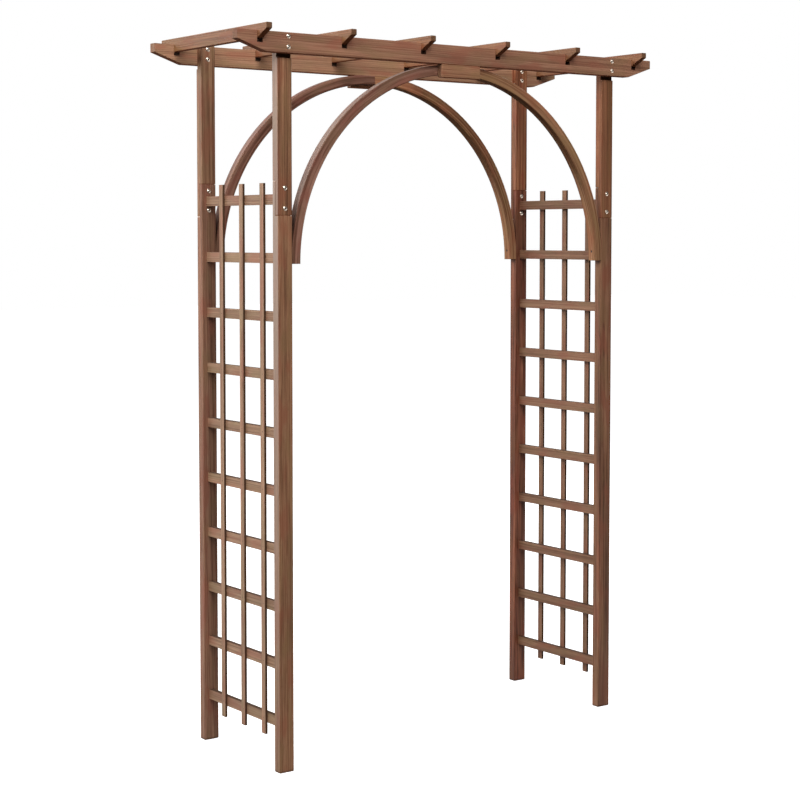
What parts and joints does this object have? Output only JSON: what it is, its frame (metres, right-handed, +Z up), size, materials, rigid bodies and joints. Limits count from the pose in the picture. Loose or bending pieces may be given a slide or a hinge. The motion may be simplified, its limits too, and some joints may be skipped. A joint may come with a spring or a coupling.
{
  "type": "garden arch trellis",
  "caption": "Free-standing wooden garden arch: posts with trellis sides, beams carrying cross rafters, and round arches over the walkway.",
  "frame": {"origin": "on the ground, midway between the four posts", "axes": "+Z up, +X to the right across the walkway, +Y along the walkway to the rear, so the front is -Y"},
  "size_m": [1.57, 0.596, 2.134],
  "materials": {
    "post_wood": "brown stained softwood, fine lengthwise grain, eased edges, matt",
    "beam_wood": "brown stained softwood, fine lengthwise grain, matt",
    "rafter_wood": "brown stained softwood, fine lengthwise grain, matt",
    "arch_wood": "brown stained softwood, grain cut through by the curve, matt",
    "lattice_wood": "brown stained softwood, fine grain along each bar, matt",
    "bolt_steel": "bright zinc plated steel, domed heads",
    "screw_steel": "dark coated steel wood screws, countersunk"
  },
  "bodies": {
    "root": {"front_left_lower_post": "post_wood", "front_right_lower_post": "post_wood", "rear_left_lower_post": "post_wood", "rear_right_lower_post": "post_wood", "front_left_upper_post": "post_wood", "front_right_upper_post": "post_wood", "rear_left_upper_post": "post_wood", "rear_right_upper_post": "post_wood", "front_beam": "beam_wood", "rear_beam": "beam_wood", "rafter_1": "rafter_wood", "rafter_2": "rafter_wood", "rafter_3": "rafter_wood", "rafter_4": "rafter_wood", "rafter_5": "rafter_wood", "rafter_6": "rafter_wood", "front_left_arch": "arch_wood", "front_right_arch": "arch_wood", "rear_left_arch": "arch_wood", "rear_right_arch": "arch_wood", "front_crown_block": "arch_wood", "rear_crown_block": "arch_wood", "left_lattice": "lattice_wood", "right_lattice": "lattice_wood"}
  },
  "joints": []
}
